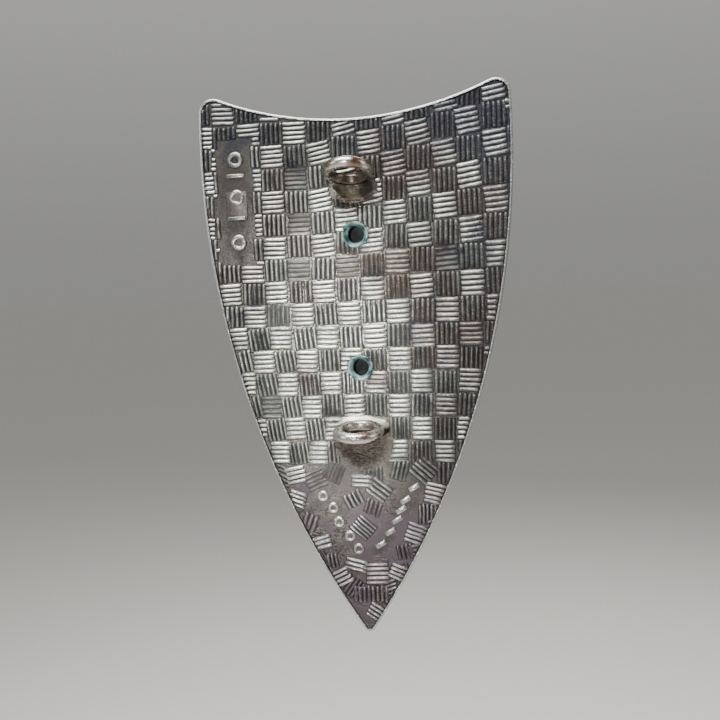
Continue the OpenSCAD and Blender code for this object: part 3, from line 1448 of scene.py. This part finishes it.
@dataclass
class HollowRivet:
    """A tube through the plate, flared over its back."""

    side: Side
    bore: float = 0.65
    tube: float = 0.85
    mouth: float = 1.05
    floor: float = -1.05

    def build(self) -> bpy.types.Object:
        """Turns the tube with its rolled lip, closed at the front by the roundel.

        Returns:
            The piece.
        """
        node = self.side.node("rivet")
        up = RIVETS_UP[self.side.name.lower()]
        foot = FRONT - BACK + 0.02
        profile = [
            (0.001, foot), (0.001, self.floor), (self.bore, self.floor), (self.bore, -0.55),
            (self.bore + 0.02, -0.46), (self.bore + 0.12, -0.26), (self.bore + 0.22, -0.10),
            (self.bore + 0.29, -0.02),
            (self.mouth - 0.06, 0.0), (self.mouth, -0.04), (self.mouth - 0.01, -0.12),
            (self.mouth - 0.04, -0.3), (self.tube, -0.5), (self.tube, foot), (0.001, foot),
        ]
        shape = spin_profile(profile, 48, at(0, up), Vector((0, 1, 0)))
        for vert in shape.verts:
            if vert.co.y > BACK - 0.4:
                crust = noise.noise(vert.co * 3.0 + Vector((up, 0, 0)))
                vert.co.y = min(vert.co.y + 0.02 * crust, BACK - 0.002)
        return finish_piece(shape, node + "_tube", VerdigrisTube(), [node], crease=50)


# ---------------------------------------------------------------- fittings of the front


@dataclass
class Roundel:
    """The gilt wreath that is riveted on the front, round a domed enamel boss."""

    radius: float = ROUNDEL_RADIUS
    edge: float = 0.45
    thickness: float = 0.9
    wreath: float = 0.5
    boss: float = 3.8
    boss_seat: float = 0.35
    boss_height: float = 0.95
    leaves: int = 11
    beads: int = 72

    @property
    def ring_middle(self) -> float:
        """Radius of the middle row of leaves."""
        return (self.radius - self.edge + self.boss + 0.75) / 2

    @staticmethod
    def out(x: float, along: float, level: float) -> Vector:
        """Point over the front: x and along from the centre, level above the plate's front."""
        return Vector((x, FRONT - level, ROUNDEL_UP - TIP_DROP + along))

    def build_disc(self) -> bpy.types.Object:
        """Turns the disc, its beaded edge and the bezel round the boss.

        Returns:
            The piece.
        """
        foot = self.thickness
        profile = [
            (0.001, 0.0), (self.radius, 0.0), (self.radius, foot - 0.08),
            (self.radius - 0.08, foot), (self.radius - self.edge, foot),
            (self.radius - self.edge - 0.1, foot - 0.12), (self.boss + 0.75, foot - 0.12),
            (self.boss + 0.68, foot + 0.2), (self.boss + 0.5, foot + self.wreath - 0.12),
            (self.boss + 0.28, foot + self.wreath - 0.05), (self.boss + 0.06, foot + 0.2),
            (self.boss, foot), (self.boss, foot - self.boss_seat), (0.001, foot - self.boss_seat),
        ]
        disc = spin_profile(profile, 128, self.out(0, 0, 0), Vector((0, -1, 0)))
        reach = self.radius - self.edge / 2
        for n in range(self.beads):
            turn = math.tau * n / self.beads
            bead = bmesh.new()
            bmesh.ops.create_icosphere(bead, subdivisions=1, radius=0.19)
            where = self.out(reach * math.cos(turn), reach * math.sin(turn), foot)
            bmesh.ops.translate(bead, vec=where, verts=bead.verts)
            join(disc, bead)
        return finish_piece(disc, "roundel_disc", GiltTombac(), ["front_roundel"], crease=40)

    @staticmethod
    def leaf() -> bpy.types.Mesh:
        """One laurel leaf, a unit long along X, with a raised midrib.

        Returns:
            Its mesh.
        """
        shape = bmesh.new()
        bmesh.ops.create_grid(shape, x_segments=8, y_segments=4, size=0.5)
        for vert in shape.verts:
            t = vert.co.x + 0.5
            breadth = math.sin(math.pi * t**0.8) ** 0.9 * 0.2 + 0.015
            v = vert.co.y * 2
            vert.co.y = v * breadth
            vert.co.z = 0.13 * math.sin(math.pi * min(t * 1.05, 1)) * (1 - 0.85 * abs(v))
            vert.co.z += 0.04 * (1 - abs(v)) ** 3
        edges = [e for e in shape.edges if e.is_boundary]
        skirt = bmesh.ops.extrude_edge_only(shape, edges=edges)
        low = [g for g in skirt["geom"] if isinstance(g, bmesh.types.BMVert)]
        bmesh.ops.translate(shape, vec=(0, 0, -0.25), verts=low)
        bmesh.ops.contextual_create(shape, geom=[e for e in shape.edges if e.is_boundary])
        bmesh.ops.recalc_face_normals(shape, faces=shape.faces)
        return mesh_of(shape, "leaf")

    def lay_leaf(
        self, wreath: Shape, leaf: bpy.types.Mesh, hand: int, turn: float, row: int
    ) -> None:
        """Lays one leaf on the ring.

        Args:
            wreath: The leaves so far.
            leaf: The unit leaf.
            hand: 1 for the half on +X and -1 for the other.
            turn: Its place round the roundel, from +X towards up.
            row: 0 for the middle row, and -1 or 1 for the rows inside and outside it.
        """
        count = len(wreath.verts)
        wreath.from_mesh(leaf)
        wreath.verts.ensure_lookup_table()
        length, lift = (1.6, -0.08) if row else (1.95, -0.01)
        reach = self.ring_middle + row * 0.42
        # the outer rows spread away from the middle one
        way = turn + math.radians(90 - 27 * row)
        for vert in wreath.verts[count:]:
            size = vert.co * length
            x = reach * math.cos(turn) + math.cos(way) * size.x - math.sin(way) * size.y
            z = reach * math.sin(turn) + math.sin(way) * size.x + math.cos(way) * size.y
            vert.co = self.out(hand * x, z, self.thickness + lift + size.z)

    def build_wreath(self) -> bpy.types.Object:
        """Lays three rows of leaves that rise on both sides, and ties them at both ends.

        Returns:
            The piece.
        """
        leaf = self.leaf()
        wreath = bmesh.new()
        for hand in (-1, 1):
            for n in range(self.leaves):
                turn = math.radians(-86 + 172 * n / (self.leaves - 1))
                for row in (0, -1, 1):
                    self.lay_leaf(wreath, leaf, hand, turn, row)
        bpy.data.meshes.remove(leaf)
        for along in (-self.ring_middle, self.ring_middle):
            centre = self.out(0, along, self.thickness + 0.14)
            join(wreath, soft_block((0.62, 0.4, 2.15), 0.12, 3, centre))
        bmesh.ops.recalc_face_normals(wreath, faces=wreath.faces)
        return finish_piece(wreath, "laurel_wreath", GiltTombac(), crease=45)

    def build_boss(self) -> bpy.types.Object:
        """Domes the enamel in the middle.

        Returns:
            The piece.
        """
        seat = self.thickness - self.boss_seat
        rise = self.boss_height - self.boss_seat
        ball = (self.boss**2 + rise**2) / (2 * rise)
        half = math.asin(self.boss / ball)
        steps = 14
        dome = []
        for i in range(steps + 1):
            angle = half * (1 - i / steps)
            level = seat + self.boss_height - ball * (1 - math.cos(angle))
            dome.append((max(ball * math.sin(angle), 0.001), level))
        profile = [(0.001, seat), (self.boss - 0.01, seat), (self.boss - 0.01, dome[0][1] - 0.08)]
        shape = spin_profile(profile + dome[1:], 96, self.out(0, 0, 0), Vector((0, -1, 0)))
        return finish_piece(
            shape, "boss_enamel", EnamelTint.CRIMSON.value, ["enamel_boss"], crease=40
        )


@dataclass
class EnamelField:
    """The fired enamel of one quarter of the front, slightly drawn up along its walls."""

    node: str
    tint: EnamelTint

    def build(self) -> bpy.types.Object:
        """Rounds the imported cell's edges by a hair and lets its face sink a little.

        Returns:
            The piece.
        """
        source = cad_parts[self.node]
        shape = bmesh.new()
        shape.from_mesh(source.data)
        bmesh.ops.transform(shape, matrix=source.matrix_world, verts=shape.verts)
        bmesh.ops.scale(shape, vec=(1 / MM, 1 / MM, 1 / MM), verts=shape.verts)
        bmesh.ops.remove_doubles(shape, verts=shape.verts, dist=MERGE)
        bmesh.ops.dissolve_limit(
            shape, angle_limit=math.radians(0.6), verts=shape.verts, edges=shape.edges
        )
        face = min(shape.faces, key=lambda f: (round(f.calc_center_median().y, 3), -f.calc_area()))
        bmesh.ops.inset_region(shape, faces=[face], thickness=0.10, use_even_offset=True)
        bmesh.ops.inset_region(
            shape, faces=[face], thickness=0.14, depth=-0.035, use_even_offset=True
        )
        bmesh.ops.recalc_face_normals(shape, faces=shape.faces)
        return finish_piece(shape, self.node + "_fired", self.tint.value, [self.node], crease=50)


# ---------------------------------------------------------------- studio


@dataclass
class Studio:
    """A pale floor, soft lights and the camera behind the badge."""

    floor_gap: float = 120.0
    floor_size: float = 40000.0
    paper: str = "#e9e8e5"
    camera_across: float = -13.046
    camera_up: float = 29.327
    camera_out: float = 73.585
    camera_angles: tuple[float, float, float] = (85.157, 2.151, -170.129)

    def build(self) -> None:
        """Sets the stage."""
        self.floor()
        self.world()
        self.light("key_above", (35, 80, 165), (150, 110), 17.0, "#fffefa")
        self.light("sheen_left", (27, 150, -3), (24, 36), 38.0, "#f4f9ff")
        self.light("fill_left", (190, 110, 50), (70, 110), 3.5, "#f4f7ff")
        self.light("rim_right", (-170, 50, 60), (60, 140), 2.8, "#ffffff")
        self.light("front_key", (-60, -260, 240), (260, 200), 7.0, "#fffaf4")
        self.light("front_fill", (220, -160, 70), (140, 140), 2.0, "#f2f6ff")
        self.camera()

    def floor(self) -> None:
        """Lays the floor under the tip."""
        shape = bmesh.new()
        bmesh.ops.create_grid(shape, x_segments=1, y_segments=1, size=self.floor_size / 2)
        bmesh.ops.translate(shape, vec=(0, 0, PLATE_LOW.z - self.floor_gap), verts=shape.verts)
        bmesh.ops.scale(shape, vec=(MM, MM, MM), verts=shape.verts)
        floor = add_object("floor", mesh_of(shape, "floor"))
        material = bpy.data.materials.new("matt studio paper")
        material.use_nodes = True
        shader = material.node_tree.nodes["Principled BSDF"]
        feed(shader, {"Base Color": linear(self.paper), "Roughness": 0.9})
        floor.data.materials.append(material)

    def world(self) -> None:
        """Fills the room with a soft pale light."""
        world = bpy.data.worlds.new("studio")
        world.use_nodes = True
        add = partial(add_node, world.node_tree)
        _, along, above = add(Kind.AXES, add(Kind.WAY)).node.outputs
        # near the ground the room has the floor's own tone, so that no horizon shows
        wall = add(Kind.RAMP, above, 0.0, 0.45, 0.34, 0.56)
        # the half of the room behind the camera is dimmer, so that the relief reads
        glow = add(Kind.RAMP, along, -0.35, 0.35, wall, 0.26)
        feed(world.node_tree.nodes["Background"], {"Color": linear(self.paper), "Strength": glow})
        bpy.context.scene.world = world

    def light(
        self, name: str, place: tuple[float, float, float], size: tuple[float, float],
        glow: float, colour: str,
    ) -> None:
        """Hangs a soft box that faces the badge.

        Args:
            name: The light's name.
            place: Its place in millimetres.
            size: Its width and height in millimetres.
            glow: Its brightness, where 1 is a white wall lit by a white sky.
            colour: Its colour.
        """
        data = bpy.data.lights.new(name, "AREA")
        data.shape = "RECTANGLE"
        data.size, data.size_y = size[0] * MM, size[1] * MM
        data.energy = glow * math.pi * data.size * data.size_y
        data.color = linear(colour)[:3]
        lamp = add_object(name, data)
        lamp.location = Vector(place) * MM
        lamp.rotation_euler = (-Vector(place)).to_track_quat("-Z", "Y").to_euler()

    def camera(self) -> None:
        """Puts the camera behind the badge, a little to its side and above its middle."""
        data = bpy.data.cameras.new("camera")
        data.lens = 45.45
        data.sensor_width = 36.0
        data.shift_y = 0.0075
        data.clip_start = 0.001
        camera = add_object("camera", data)
        camera.location = at(self.camera_across, self.camera_up, self.camera_out) * MM
        camera.rotation_euler = Euler([math.radians(a) for a in self.camera_angles])
        bpy.context.scene.camera = camera


def main() -> None:
    """Builds the badge and its studio."""
    logging.basicConfig(level=logging.INFO, format="%(message)s")
    outline = ShieldOutline()
    PlateBody(outline).build()
    back = StruckBack(outline)
    back.build_weave()
    back.build_marks()
    # the lower loop's wire is paler and brushed, with a much lighter painted shade towards the plate
    whitened = SilveredWire(
        "silvered brass wire, brushed", silver="#d2cfc9", copper="#9c8577", shade="#a39e95"
    )
    WireLoop(Side.UPPER, foot_up=38.0, lean=18).build()
    WireLoop(Side.LOWER, foot_up=18.1, lean=10, finish=whitened).build()
    scraped = SoftSolder(
        "soft solder, scraped", pale="#3f362e", dark="#1b1512", scraped_above=-10.1
    )
    SolderPool(Side.UPPER, x=0.0, up=37.6, half_width=1.8, half_height=1.05, rise=0.12).build()
    SolderPool(
        Side.LOWER, x=0.1, up=17.75, half_width=2.35, half_height=1.15, rise=0.6, finish=scraped
    ).build()
    for side in Side:
        HollowRivet(side).build()
    roundel = Roundel()
    roundel.build_disc()
    roundel.build_wreath()
    roundel.build_boss()
    for node, tint in (
        ("enamel_upper_left", EnamelTint.BLUE), ("enamel_upper_right", EnamelTint.IVORY),
        ("enamel_lower_left", EnamelTint.IVORY), ("enamel_lower_right", EnamelTint.BLUE),
    ):
        EnamelField(node, tint).build()
    Studio().build()
    log.info("built the badge")


if __name__ == "__main__":
    main()
